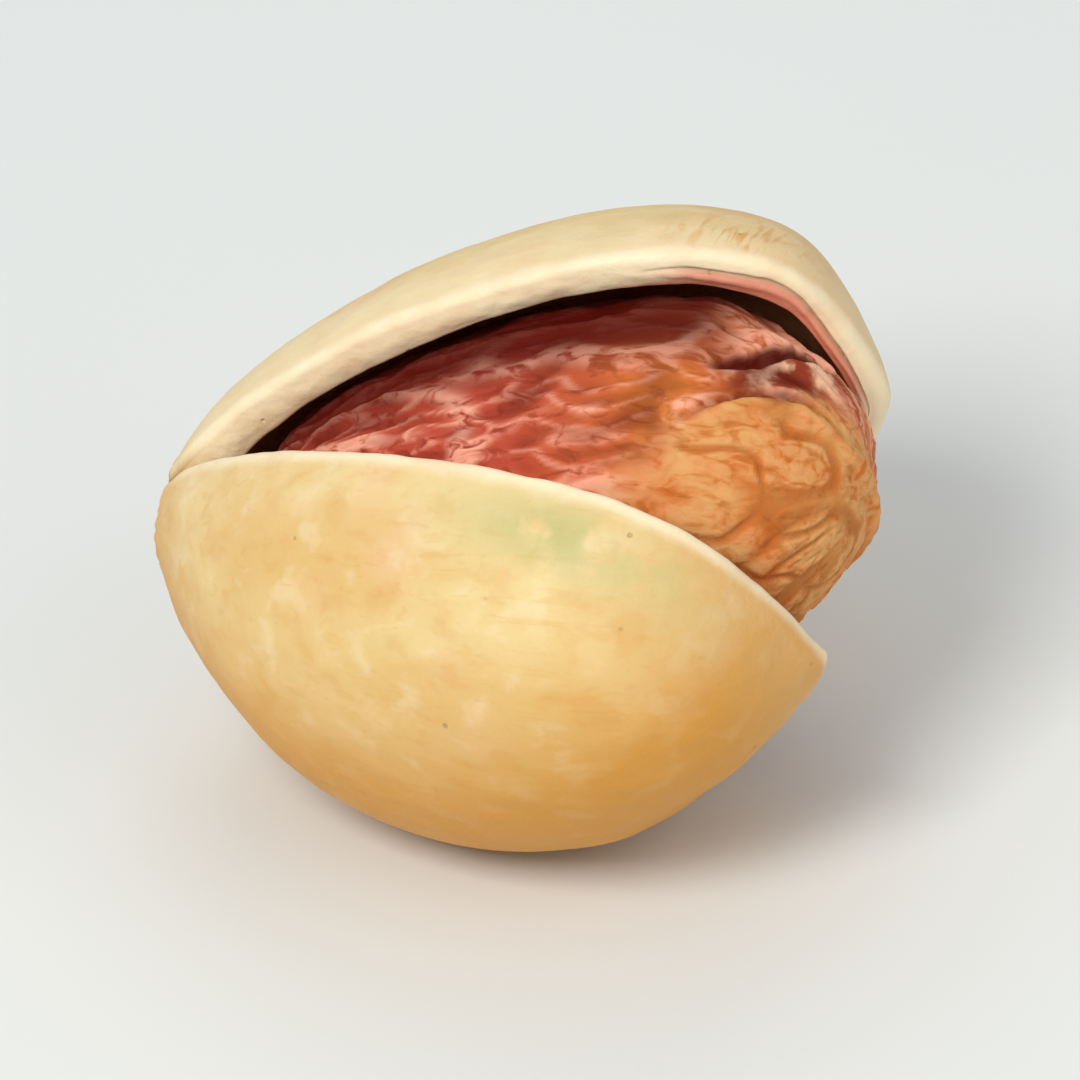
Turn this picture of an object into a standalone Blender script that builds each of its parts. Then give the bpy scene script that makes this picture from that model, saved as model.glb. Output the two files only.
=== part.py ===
"""A pistachio in its split shell, lying on a small flat spot.

Metres, +Z up. The long axis of the nut runs along X: stem end at -X, beak at +X.
The split side of the shell faces up, rolled a little towards -Y.
"""

import math

import bmesh
import bpy
from mathutils import Matrix, Vector

MM = 0.001

# Outside of the shell, closed. Heights are measured in the plane of the split.
SHELL_LENGTH = 19.2 * MM
SHELL_HEIGHT_ABOVE = 6.55 * MM
SHELL_HEIGHT_BELOW = 6.35 * MM
SHELL_HALF_THICKNESS = 6.35 * MM

# Hollow inside the shell. What is left around it is the wall, about 1 mm thick.
HOLLOW_LENGTH = 16.7 * MM
HOLLOW_HEIGHT_ABOVE = 5.65 * MM
HOLLOW_HEIGHT_BELOW = 5.2 * MM
HOLLOW_HALF_THICKNESS = 5.4 * MM
HOLLOW_SHIFT = 0.15 * MM

# Kernel, which lies in the hollow and leans on the lower valve.
KERNEL_LENGTH = 16.0 * MM
KERNEL_HEIGHT_ABOVE = 5.1 * MM
KERNEL_HEIGHT_BELOW = 4.3 * MM
KERNEL_HALF_THICKNESS = 4.9 * MM
KERNEL_SHIFT = Vector((1.1, 0.1, 0.5)) * MM
KERNEL_LEAN = math.radians(1.0)

# How far each valve has sprung open, and the line it bends about near the stem end.
VALVE_OPENING = math.radians(15.5)
HINGE_TILT = math.radians(37.0)
HINGE_INSET = 1.0 * MM
HINGE_HEIGHT = 1.0 * MM
BEND_REACH = 3.5 * MM
CRACK_SOFTNESS = 0.8 * MM
SPLIT_MARGIN = 0.03 * MM
SEAM_WIDTH = 0.002

# How far from the tip the beak's pinch reaches, as an angle at the centre of the form.
PINCH_REACH = 0.45

# How the nut lies.
ROLL = math.radians(17.0)
PITCH = math.radians(-1.0)
FLAT_DEPTH = 0.4 * MM

# Fineness of the meshes.
SEGMENTS_AROUND = 40
RINGS_ALONG = 28
SHARP_ANGLE = math.radians(40.0)
TINY = 1e-6

# Colours, linear red, green and blue.
SHELL_COLOUR = (0.79, 0.60, 0.31)
KERNEL_COLOUR = (0.48, 0.17, 0.08)


class Form:
    """An egg-like form along X with its own swell above and below, a beak and a lifted tip."""

    def __init__(self, length, above, below, half_thickness, swell_above, swell_below,
                 pinch, lift, shift=0.0):
        self.length = length
        self.above = above
        self.below = below
        self.half_thickness = half_thickness
        self.swell_above = swell_above
        self.swell_below = swell_below
        self.pinch = pinch
        self.lift = lift
        self.shift = shift

    def place(self, direction):
        """Return the point of the form for a direction from the centre of a unit sphere."""
        along = max(-1.0, min(1.0, direction.x))
        ring = math.sqrt(max(0.0, 1.0 - along * along))
        if ring < TINY:
            across, up = 0.0, 0.0
        else:
            across, up = direction.y / ring, direction.z / ring
        from_tip = math.acos(along)
        upper = 0.5 + 0.5 * up
        swell = self.swell_below * (1.0 - upper) + self.swell_above * upper
        beak = 1.0 - self.pinch * math.exp(-(from_tip / PINCH_REACH) ** 2)
        width = ring * (1.0 + swell * along) * beak
        height = self.above if up > 0.0 else self.below
        return Vector((
            self.shift + 0.5 * self.length * along,
            self.half_thickness * width * across,
            height * width * up + self.lift * (0.5 + 0.5 * along) ** 3,
        ))


SHELL_FORM = Form(SHELL_LENGTH, SHELL_HEIGHT_ABOVE, SHELL_HEIGHT_BELOW, SHELL_HALF_THICKNESS,
                  swell_above=0.25, swell_below=-0.12, pinch=0.75, lift=2.0 * MM)
HOLLOW_FORM = Form(HOLLOW_LENGTH, HOLLOW_HEIGHT_ABOVE, HOLLOW_HEIGHT_BELOW, HOLLOW_HALF_THICKNESS,
                   swell_above=0.28, swell_below=-0.11, pinch=0.38, lift=1.75 * MM, shift=HOLLOW_SHIFT)
KERNEL_FORM = Form(KERNEL_LENGTH, KERNEL_HEIGHT_ABOVE, KERNEL_HEIGHT_BELOW, KERNEL_HALF_THICKNESS,
                   swell_above=0.3, swell_below=0.0, pinch=0.2, lift=2.2 * MM)

HINGE_POINT = Vector((-0.5 * SHELL_LENGTH + HINGE_INSET, 0.0, HINGE_HEIGHT))
AWAY_FROM_HINGE = Vector((math.cos(HINGE_TILT), 0.0, math.sin(HINGE_TILT)))
ALONG_HINGE = Vector((-math.sin(HINGE_TILT), 0.0, math.cos(HINGE_TILT)))


def clear_scene():
    """Remove every object the file holds."""
    for item in list(bpy.data.objects):
        bpy.data.objects.remove(item)


def smooth_step(value):
    """Return 0 to 1 with soft ends."""
    value = max(0.0, min(1.0, value))
    return value * value * (3.0 - 2.0 * value)


def crack_ramp(distance):
    """Return the distance past the hinge line, with a soft start where the crack begins."""
    if distance <= -CRACK_SOFTNESS:
        return 0.0
    if distance >= CRACK_SOFTNESS:
        return distance
    return (distance + CRACK_SOFTNESS) ** 2 / (4.0 * CRACK_SOFTNESS)


def spring_open(point):
    """Move a point of the closed nut to where it is once its valve has bent open."""
    arm = point - HINGE_POINT
    distance = arm.dot(AWAY_FROM_HINGE)
    height = arm.dot(ALONG_HINGE)
    angle = VALVE_OPENING * smooth_step((distance + BEND_REACH) / (2.0 * BEND_REACH))
    side = math.copysign(1.0, point.y)
    depth = abs(point.y)
    opened_distance = distance * math.cos(angle) - depth * math.sin(angle)
    opened_depth = depth * math.cos(angle) + crack_ramp(distance) * math.sin(VALVE_OPENING)
    opened = HINGE_POINT + AWAY_FROM_HINGE * opened_distance + ALONG_HINGE * height
    opened.y = side * opened_depth
    return opened


def unit_sphere():
    """Return a bmesh of a unit sphere with its poles on X and no vertex on the split plane."""
    half_step = math.pi / SEGMENTS_AROUND
    turn = Matrix.Rotation(math.radians(90.0), 4, "Y") @ Matrix.Rotation(half_step, 4, "Z")
    sphere = bmesh.new()
    bmesh.ops.create_uvsphere(
        sphere, u_segments=SEGMENTS_AROUND, v_segments=RINGS_ALONG, radius=1.0, matrix=turn)
    return sphere


def shell_body(form):
    """Return a bmesh of a form of the shell, sprung open, with a fine seam where it splits."""
    body = unit_sphere()
    for offset in (-SEAM_WIDTH, SEAM_WIDTH):
        bmesh.ops.bisect_plane(
            body, geom=body.verts[:] + body.edges[:] + body.faces[:], dist=TINY,
            plane_co=(0.0, offset, 0.0), plane_no=(0.0, 1.0, 0.0))
    for vert in body.verts:
        vert.co = spring_open(form.place(vert.co))
    return body


def kernel_body():
    """Return a bmesh of the kernel, shifted and leaning about the hinge line."""
    lean = (Matrix.Translation(HINGE_POINT) @ Matrix.Rotation(KERNEL_LEAN, 4, ALONG_HINGE)
            @ Matrix.Translation(-HINGE_POINT))
    body = unit_sphere()
    for vert in body.verts:
        vert.co = lean @ (KERNEL_FORM.place(vert.co) + KERNEL_SHIFT)
    return body


def split_wedge():
    """Return a bmesh of the wedge between the valves: a box pinched to an edge at the hinge."""
    reach = 1.5 * SHELL_LENGTH
    back = SPLIT_MARGIN / math.tan(VALVE_OPENING)
    half_opening = (reach + back) * math.tan(VALVE_OPENING)
    wedge = bmesh.new()
    bmesh.ops.create_cube(wedge, size=2.0)
    for vert in wedge.verts:
        away = reach if vert.co.x > 0.0 else -back
        across = vert.co.y * half_opening if vert.co.x > 0.0 else 0.0
        corner = HINGE_POINT + AWAY_FROM_HINGE * away + ALONG_HINGE * (vert.co.z * reach)
        vert.co = corner + Vector((0.0, across, 0.0))
    bmesh.ops.remove_doubles(wedge, verts=wedge.verts[:], dist=TINY)
    bmesh.ops.recalc_face_normals(wedge, faces=wedge.faces[:])
    return wedge


def rest_block():
    """Return a bmesh of the block below the surface the nut lies on."""
    side = 2.0 * SHELL_LENGTH
    block = bmesh.new()
    bmesh.ops.create_cube(block, size=side, matrix=Matrix.Translation((0.0, 0.0, -0.5 * side)))
    return block


def add_material(name, colour, roughness):
    """Return a non-metallic Principled material."""
    material = bpy.data.materials.new(name)
    material.use_nodes = True
    shader = material.node_tree.nodes["Principled BSDF"]
    shader.inputs["Base Color"].default_value = (*colour, 1.0)
    shader.inputs["Roughness"].default_value = roughness
    shader.inputs["Metallic"].default_value = 0.0
    return material


def add_object(name, body, collection, material=None):
    """Turn a bmesh into a smooth-shaded object of the collection."""
    mesh = bpy.data.meshes.new(name)
    body.to_mesh(mesh)
    body.free()
    mesh.shade_smooth()
    mesh.set_sharp_from_angle(angle=SHARP_ANGLE)
    if material:
        mesh.materials.append(material)
    item = bpy.data.objects.new(name, mesh)
    collection.objects.link(item)
    return item


def add_cutter(name, body, collection):
    """Turn a bmesh into a hidden cutter shown as wire."""
    cutter = add_object(name, body, collection)
    cutter.hide_render = True
    cutter.display_type = "WIRE"
    return cutter


def cut(item, cutter):
    """Take the cutter away from the item with a Boolean modifier."""
    boolean = item.modifiers.new("cut_" + cutter.name, "BOOLEAN")
    boolean.operation = "DIFFERENCE"
    boolean.solver = "EXACT"
    boolean.object = cutter


def resting_place(item):
    """Return the transform that rolls the nut and sets its box's bottom centre on the origin."""
    turn = Matrix.Rotation(PITCH, 4, "Y") @ Matrix.Rotation(ROLL, 4, "X")
    turned = [turn @ vert.co for vert in item.data.vertices]
    low = Vector([min(co[axis] for co in turned) for axis in range(3)])
    high = Vector([max(co[axis] for co in turned) for axis in range(3)])
    middle = 0.5 * (low + high)
    return Matrix.Translation((-middle.x, -middle.y, -low.z - FLAT_DEPTH)) @ turn


def add_collection(name):
    """Return a new collection in the scene."""
    collection = bpy.data.collections.new(name)
    bpy.context.scene.collection.children.link(collection)
    return collection


def build():
    """Build the nut: a shell hollowed, split and flattened where it lies, and its kernel."""
    clear_scene()
    nut = add_collection("pistachio")
    cutters = add_collection("cutters")

    shell = add_object("shell", shell_body(SHELL_FORM), nut,
                       add_material("shell", SHELL_COLOUR, roughness=0.5))
    kernel = add_object("kernel", kernel_body(), nut,
                        add_material("kernel", KERNEL_COLOUR, roughness=0.6))
    hollow = add_cutter("hollow", shell_body(HOLLOW_FORM), cutters)
    split = add_cutter("split", split_wedge(), cutters)
    rest = add_cutter("rest", rest_block(), cutters)

    pose = bpy.data.objects.new("rest_pose", None)
    nut.objects.link(pose)
    pose.matrix_world = resting_place(shell)
    for item in (shell, kernel, hollow, split):
        item.parent = pose
    for cutter in (hollow, split, rest):
        cut(shell, cutter)


build()
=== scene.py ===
"""A pistachio in its split shell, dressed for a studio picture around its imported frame.

The two solids of the frame, the shell and the kernel, are each replaced by one fine mesh with the
same form: the shell with rounded rims, a stem scar, streaks and pits, and the kernel with its
wrinkled papery coat. Shapes are worked out in millimetres and turned into metres at the end.
"""

import itertools
import logging
import math
from dataclasses import dataclass, field, replace
from enum import Enum
from typing import Any, Optional, Union

import bpy
import numpy as np
from mathutils import Matrix, Vector

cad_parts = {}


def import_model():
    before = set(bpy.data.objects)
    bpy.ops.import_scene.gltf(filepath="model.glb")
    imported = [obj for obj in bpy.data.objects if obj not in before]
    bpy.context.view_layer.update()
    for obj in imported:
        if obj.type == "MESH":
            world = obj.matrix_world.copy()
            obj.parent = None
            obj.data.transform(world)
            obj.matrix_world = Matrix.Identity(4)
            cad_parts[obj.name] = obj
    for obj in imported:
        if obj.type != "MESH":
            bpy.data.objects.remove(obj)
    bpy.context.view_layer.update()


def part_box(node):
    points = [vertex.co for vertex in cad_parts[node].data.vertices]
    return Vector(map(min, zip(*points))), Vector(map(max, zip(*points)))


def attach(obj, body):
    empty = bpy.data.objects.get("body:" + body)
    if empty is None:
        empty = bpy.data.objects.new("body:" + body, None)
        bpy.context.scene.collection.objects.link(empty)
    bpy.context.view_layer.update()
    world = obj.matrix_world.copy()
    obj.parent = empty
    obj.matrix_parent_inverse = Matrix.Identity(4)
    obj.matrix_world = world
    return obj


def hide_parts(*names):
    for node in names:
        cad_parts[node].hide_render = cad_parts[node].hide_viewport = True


LOG = logging.getLogger("pistachio")
MM = 0.001
BODY = "root"
TINY = 1e-9

Colour = tuple[float, float, float]
Marks = dict[str, np.ndarray]


class Half(Enum):
    """The two valves of the shell, by the side of the split that they lie on."""

    NEAR = -1.0
    FAR = 1.0

    def sided(self, points: np.ndarray) -> np.ndarray:
        """Return points of a closed valve with Y on this valve's own side of the split."""
        return points * np.array([1.0, self.value, 1.0])


class Wall(Enum):
    """The three faces of the shell's wall."""

    OUTSIDE = "outside"
    RIM = "rim"
    INSIDE = "inside"


# ---------------------------------------------------------------- numbers on surfaces


def smooth(low: float, high: float, value: Any) -> Any:
    """Ease from 0 to 1 between two limits.

    Args:
        low: Where the result is still 0.
        high: Where the result has become 1.
        value: Number or array to ease.

    Returns:
        The eased number or array.
    """
    share = np.clip((value - low) / (high - low), 0.0, 1.0)
    return share * share * (3.0 - 2.0 * share)


def bump(centre: float, reach: float, value: Any) -> Any:
    """Return a soft bump that is 1 at the centre and fades out over the reach."""
    return np.exp(-(((value - centre) / reach) ** 2))


def veined(noise: np.ndarray) -> np.ndarray:
    """Turn noise into sharp ridges, 1 high, along the lines where it is 0."""
    steepness = 2.3
    return 1.0 - steepness * np.abs(noise)


def ends(angles: np.ndarray) -> tuple[np.ndarray, np.ndarray]:
    """Return which angles are 0 and which are pi."""
    return angles < TINY, angles > math.pi - TINY


def join_poles(points: np.ndarray, tips: np.ndarray) -> None:
    """Draw the points at each end of a form together into one."""
    for pole in ends(tips):
        points[pole] = points[pole].mean(axis=0)


class Grain:
    """Smooth random relief in space, the same on every run."""

    CELLS = 256

    def __init__(self, seed: int) -> None:
        """Draw the lattice's slopes.

        Args:
            seed: Seed of the random draws.
        """
        random = np.random.default_rng(seed)
        order = random.permutation(self.CELLS)
        self.order = np.concatenate([order, order, order])
        slopes = random.normal(size=(self.CELLS, 3))
        self.slopes = slopes / np.linalg.norm(slopes, axis=1, keepdims=True)

    def at(self, points: np.ndarray) -> np.ndarray:
        """Sample the relief.

        Args:
            points: Places with one lattice cell to the unit, shape (n, 3).

        Returns:
            Heights from about -1 to 1, shape (n,).
        """
        cell = np.floor(points).astype(np.int64)
        local = points - cell
        fade = local**3 * (local * (local * 6.0 - 15.0) + 10.0)
        cell &= self.CELLS - 1
        total = np.zeros(len(points))
        for corner in itertools.product((0, 1), repeat=3):
            step = np.array(corner)
            near = (cell + step) & (self.CELLS - 1)
            index = self.order[self.order[self.order[near[:, 0]] + near[:, 1]] + near[:, 2]]
            weight = np.prod(np.where(step == 1, fade, 1.0 - fade), axis=1)
            total += weight * np.einsum("ij,ij->i", self.slopes[index], local - step)
        return total * 1.7

    def stretched(self, points: np.ndarray, lengths: tuple[float, float, float]) -> np.ndarray:
        """Sample the relief with its own wavelength along each axis, in millimetres."""
        return self.at(points / np.array(lengths))

    def layered(self, points: np.ndarray, wavelength: float, layers: int = 3) -> np.ndarray:
        """Sum finer and fainter layers of the relief.

        Args:
            points: Places in millimetres, shape (n, 3).
            wavelength: Size of the coarsest layer, in millimetres.
            layers: Number of layers, each half as wide and high as the last.

        Returns:
            Heights from about -1 to 1, shape (n,).
        """
        total = np.zeros(len(points))
        for layer in range(layers):
            share = 0.5**layer
            total += share * self.at(points / (wavelength * share) + 17.3 * layer)
        return total


# ---------------------------------------------------------------- forms of the nut


@dataclass(frozen=True)
class Form:
    """An egg-like form along X with its own swell above and below, a beak and a lifted tip."""

    length: float
    above: float
    below: float
    half_thickness: float
    swell_above: float
    swell_below: float
    pinch: float
    lift: float
    shift: float = 0.0
    pinch_reach: float = 0.45

    def place(self, from_tip: np.ndarray, turn: np.ndarray) -> np.ndarray:
        """Return points of the form.

        Args:
            from_tip: Angle from the tip, from 0 to pi, shape (n,).
            turn: Angle about X from the top of the split towards +Y, shape (n,).

        Returns:
            Points in millimetres, shape (n, 3).
        """
        along, up = np.cos(from_tip), np.cos(turn)
        upper = 0.5 + 0.5 * up
        swell = self.swell_below * (1.0 - upper) + self.swell_above * upper
        beak = 1.0 - self.pinch * np.exp(-((from_tip / self.pinch_reach) ** 2))
        width = np.sin(from_tip) * (1.0 + swell * along) * beak
        height = np.where(up > 0.0, self.above, self.below)
        return np.stack(
            [
                self.shift + 0.5 * self.length * along,
                self.half_thickness * width * np.sin(turn),
                height * width * up + self.lift * (0.5 + 0.5 * along) ** 3,
            ],
            axis=1,
        )

    def outward(self, from_tip: np.ndarray, turn: np.ndarray) -> np.ndarray:
        """Return unit normals of the form, worked out from small steps over it.

        Args:
            from_tip: Angle from the tip, from 0 to pi, shape (n,).
            turn: Angle about X from the top of the split, shape (n,).

        Returns:
            Unit vectors that point out of the form, shape (n, 3).
        """
        step = 1e-4
        angle = np.clip(from_tip, 20.0 * step, math.pi - 20.0 * step)
        along = self.place(angle + step, turn) - self.place(angle - step, turn)
        around = self.place(angle, turn + step) - self.place(angle, turn - step)
        normal = np.cross(around, along)
        normal /= np.linalg.norm(normal, axis=1, keepdims=True)
        pole = np.sin(from_tip) < step
        normal[pole] = np.stack([np.cos(from_tip[pole]), 0.0 * turn[pole], 0.0 * turn[pole]], axis=1)
        return normal


@dataclass(frozen=True)
class Opening:
    """How the valves have sprung apart about a hinge line near the stem end."""

    angle: float = math.radians(15.5)
    tilt: float = math.radians(37.0)
    point: tuple[float, float, float] = (-8.6, 0.0, 1.0)
    bend_reach: float = 3.5
    crack_softness: float = 0.8

    @property
    def away(self) -> np.ndarray:
        """Return the direction in the split plane that leads away from the hinge line."""
        return np.array([math.cos(self.tilt), 0.0, math.sin(self.tilt)])

    @property
    def line(self) -> np.ndarray:
        """Return the direction of the hinge line."""
        return np.array([-math.sin(self.tilt), 0.0, math.cos(self.tilt)])

    def distance(self, points: np.ndarray) -> np.ndarray:
        """Return how far points lie past the hinge line."""
        return (points - np.array(self.point)) @ self.away

    def ramp(self, distance: np.ndarray) -> np.ndarray:
        """Give the distance past the hinge line a soft start where the crack begins.

        Args:
            distance: Distance past the hinge line in millimetres.

        Returns:
            The softened distance, never negative.
        """
        soft = self.crack_softness
        start = (distance + soft) ** 2 / (4.0 * soft)
        return np.where(distance <= -soft, 0.0, np.where(distance >= soft, distance, start))

    def openness(self, points: np.ndarray) -> np.ndarray:
        """Return 0 where the suture is still closed and 1 where the valves are well apart."""
        return smooth(-self.crack_softness, 2.0 * self.crack_softness, self.distance(points))

    def spring(self, points: np.ndarray, half: Half) -> np.ndarray:
        """Move points of a closed valve to where they are once it has bent open.

        Args:
            points: Points of the valve with Y counted away from the split, shape (n, 3).
            half: Which valve they belong to.

        Returns:
            Points of the sprung valve on its own side of the split, shape (n, 3).
        """
        arm = points - np.array(self.point)
        distance, height, depth = arm @ self.away, arm @ self.line, points[:, 1]
        angle = self.angle * smooth(-self.bend_reach, self.bend_reach, distance)
        opened = distance * np.cos(angle) - depth * np.sin(angle)
        depth = depth * np.cos(angle) + self.ramp(distance) * math.sin(self.angle)
        moved = np.array(self.point) + np.outer(opened, self.away) + np.outer(height, self.line)
        moved[:, 1] = half.value * depth
        return moved


@dataclass(frozen=True)
class Rest:
    """How the nut lies: rolled to one side, on a small flat spot."""

    roll: float = math.radians(17.0)
    pitch: float = math.radians(-1.0)
    flat_depth: float = 0.4
    flat_softness: float = 0.03

    def turned(self, points: np.ndarray) -> np.ndarray:
        """Return points turned as the nut lies."""
        turn = Matrix.Rotation(self.pitch, 3, "Y") @ Matrix.Rotation(self.roll, 3, "X")
        return points @ np.array(turn).T

    def shift(self, outside: np.ndarray) -> np.ndarray:
        """Return the move that sets the turned shell where its CAD solid is.

        Args:
            outside: Points of the shell's outside before the turn, in millimetres.

        Returns:
            The move in millimetres, shape (3,).
        """
        low, high = (np.array(corner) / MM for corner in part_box("shell"))
        turned = self.turned(outside)
        move = 0.5 * (low + high) - 0.5 * (turned.min(axis=0) + turned.max(axis=0))
        move[2] = -self.flat_depth - turned[:, 2].min()
        return move

    def flattened(self, points: np.ndarray) -> np.ndarray:
        """Press points that are below the surface the nut lies on flat onto it.

        Args:
            points: Points where the nut lies.

        Returns:
            The pressed points.
        """
        flat = points.copy()
        height = points[:, 2]
        flat[:, 2] = 0.5 * (height + np.sqrt(height**2 + self.flat_softness**2))
        return flat


# ---------------------------------------------------------------- meshes


@dataclass
class Patch:
    """Points in rows and columns, with named numbers for each point."""

    rows: int
    columns: int
    points: np.ndarray
    marks: Marks

    def grid(self) -> np.ndarray:
        """Return the index of each point by row and column."""
        return np.arange(self.rows * self.columns).reshape(self.rows, self.columns)


class MeshWork:
    """Gathers patches, welds their seams and makes a Blender mesh with marks on its points."""

    WELD = 1e-4

    def __init__(self) -> None:
        """Start with nothing gathered."""
        self.points: list[np.ndarray] = []
        self.faces: list[np.ndarray] = []
        self.marks: list[Marks] = []
        self.count = 0

    def add(self, patch: Patch, flip: bool, keep: Optional[np.ndarray] = None, wrap: bool = False) -> None:
        """Gather a patch.

        Args:
            patch: Points and marks.
            flip: Whether the faces turn the other way round.
            keep: Which quads to keep by row and column, or all of them.
            wrap: Whether the last column joins the first.
        """
        grid = patch.grid()
        if wrap:
            grid = np.concatenate([grid, grid[:, :1]], axis=1)
        quads = np.stack([grid[:-1, :-1], grid[1:, :-1], grid[1:, 1:], grid[:-1, 1:]], axis=-1)
        if keep is not None:
            quads = quads[keep]
        quads = quads.reshape(-1, 4) + self.count
        self.faces.append(quads[:, ::-1] if flip else quads)
        self.points.append(patch.points)
        self.marks.append(patch.marks)
        self.count += len(patch.points)

    def make(self, name: str) -> bpy.types.Object:
        """Weld what was gathered and make an object of it.

        Args:
            name: Name of the object and its mesh.

        Returns:
            The object, in metres, linked to the scene.
        """
        points = np.concatenate(self.points)
        cells = np.round(points / self.WELD).astype(np.int64)
        _, first, welded = np.unique(cells, axis=0, return_index=True, return_inverse=True)
        quads = welded.reshape(-1)[np.concatenate(self.faces)]
        faces = []
        for quad in quads.tolist():
            corners = list(dict.fromkeys(quad))
            if len(corners) > 2:
                faces.append(corners)
        mesh = bpy.data.meshes.new(name)
        mesh.from_pydata((points[first] * MM).tolist(), [], faces)
        mesh.shade_smooth()
        for mark in self.marks[0]:
            values = np.concatenate([marks[mark] for marks in self.marks])[first]
            layer = mesh.attributes.new(mark, "FLOAT", "POINT")
            layer.data.foreach_set("value", values.astype(np.float32))
        mesh.update()
        piece = bpy.data.objects.new(name, mesh)
        bpy.context.scene.collection.objects.link(piece)
        LOG.info("%s: %d points, %d faces", name, len(first), len(faces))
        return piece


# ---------------------------------------------------------------- shader building


class Value:
    """A socket that carries a number, with the usual sums."""

    def __init__(self, tree: "Finish", socket: Any) -> None:
        """Keep the socket and the material it belongs to."""
        self.tree = tree
        self.socket = socket

    def _sum(self, operation: str, first: Any, second: Any) -> "Value":
        """Add a Math node with one operation on two numbers or sockets."""
        return self.tree.node("ShaderNodeMath", {"operation": operation}, {0: first, 1: second})

    def __add__(self, other: Any) -> "Value":
        """Return the sum."""
        return self._sum("ADD", self, other)

    __radd__ = __add__

    def __rsub__(self, other: Any) -> "Value":
        """Return the difference from a number."""
        return self._sum("SUBTRACT", other, self)

    def __mul__(self, other: Any) -> "Value":
        """Return the product."""
        return self._sum("MULTIPLY", self, other)

    __rmul__ = __mul__

    def eased(self, low: float, high: float) -> "Value":
        """Ease from 0 to 1 between two limits, which may run downwards.

        Args:
            low: Where the result is still 0.
            high: Where the result has become 1.

        Returns:
            The eased value.
        """
        settings = {"interpolation_type": "SMOOTHSTEP"}
        inputs = {"Value": self, "From Min": low, "From Max": high, "To Min": 0.0, "To Max": 1.0}
        return self.tree.node("ShaderNodeMapRange", settings, inputs)


class Finish:
    """The node tree of one material."""

    def __init__(self, name: str) -> None:
        """Start a material with its Principled shader.

        Args:
            name: Name of the material.
        """
        self.material = bpy.data.materials.new(name)
        self.material.use_nodes = True
        self.nodes = self.material.node_tree.nodes
        self.links = self.material.node_tree.links
        self.shader = self.nodes["Principled BSDF"]
        place = self.node("ShaderNodeTexCoord", output="Object")
        scaling = {0: place, "Scale": 1.0 / MM}
        self.millimetres = self.node("ShaderNodeVectorMath", {"operation": "SCALE"}, scaling)

    def node(
        self,
        kind: str,
        settings: Optional[dict[str, Any]] = None,
        inputs: Optional[dict[Union[int, str], Any]] = None,
        output: Union[int, str] = 0,
    ) -> Value:
        """Add a node.

        Args:
            kind: Type of the node.
            settings: Its settings.
            inputs: Values or links of its sockets, by name or number.
            output: Which of its outputs to return.

        Returns:
            The chosen output.
        """
        node = self.nodes.new(kind)
        for name, setting in (settings or {}).items():
            setattr(node, name, setting)
        for name, value in (inputs or {}).items():
            self.set(node.inputs[name], value)
        return Value(self, node.outputs[output])

    def set(self, socket: Any, value: Any) -> None:
        """Give a socket a link or a value of its own.

        Args:
            socket: The socket.
            value: Link, number, vector, or colour without its alpha.
        """
        if isinstance(value, Value):
            self.links.new(value.socket, socket)
        elif socket.type == "RGBA":
            socket.default_value = (*value, 1.0)
        else:
            socket.default_value = value

    def mark(self, name: str) -> Value:
        """Return a number stored on the mesh's points."""
        return self.node("ShaderNodeAttribute", {"attribute_name": name}, output="Fac")

    def noise(
        self,
        size: float,
        detail: float = 3.0,
        stretch: tuple[float, float, float] = (1.0, 1.0, 1.0),
        distortion: float = 0.0,
        offset: float = 0.0,
    ) -> Value:
        """Return cloudy noise from 0 to 1.

        Args:
            size: Width of its blotches in millimetres.
            detail: Number of finer layers.
            stretch: How much longer the blotches are along each axis.
            distortion: How much it is swirled.
            offset: Shift of the pattern in millimetres.

        Returns:
            The noise.
        """
        scale = tuple(1.0 / (size * share) for share in stretch)
        mapping = {"Vector": self.millimetres, "Location": (offset, offset, offset), "Scale": scale}
        spot = self.node("ShaderNodeMapping", {"vector_type": "POINT"}, mapping)
        inputs = {"Vector": spot, "Scale": 1.0, "Detail": detail, "Distortion": distortion}
        return self.node("ShaderNodeTexNoise", {}, inputs)

    def pits(self, size: float, reach: float) -> Value:
        """Return scattered round spots: 1 in a spot and 0 around it.

        Args:
            size: Distance between the spots in millimetres.
            reach: Radius of a spot as a share of that distance.

        Returns:
            The spots.
        """
        inputs = {"Vector": self.millimetres, "Scale": 1.0 / size, "Randomness": 1.0}
        distance = self.node("ShaderNodeTexVoronoi", {"feature": "F1"}, inputs, "Distance")
        return distance.eased(reach, 0.4 * reach)

    def mix(self, share: Any, first: Any, second: Any) -> Value:
        """Mix two colours or links by the share of the second, from 0 to 1."""
        return self.node("ShaderNodeMix", {"data_type": "RGBA"}, {0: share, 6: first, 7: second}, 2)

    def coated(self, colour: Any, coats: list[tuple[Any, Any]]) -> Any:
        """Lay coats of colour over a colour.

        Args:
            colour: Colour or link underneath.
            coats: The share and the colour of each coat, the lowest first.

        Returns:
            The colour that shows.
        """
        for share, coat in coats:
            colour = self.mix(share, colour, coat)
        return colour

    def relief(self, height: Value, depth: float, below: Optional[Value] = None) -> Value:
        """Turn a height into a bumped normal.

        Args:
            height: Height from 0 to 1.
            depth: Height of the relief in millimetres.
            below: Normal of a coarser relief under it.

        Returns:
            The normal.
        """
        inputs = {"Height": height, "Distance": depth * MM, "Strength": 1.0}
        if below is not None:
            inputs["Normal"] = below
        return self.node("ShaderNodeBump", {}, inputs)

    def surfaced(self, inputs: dict[str, Any]) -> "Finish":
        """Set inputs of the shader.

        Args:
            inputs: Link or value of each input, by its name.

        Returns:
            This finish.
        """
        for name, value in inputs.items():
            self.set(self.shader.inputs[name], value)
        return self

    def dress(self, piece: bpy.types.Object) -> None:
        """Give a piece this finish alone."""
        piece.data.materials.clear()
        piece.data.materials.append(self.material)


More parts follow.
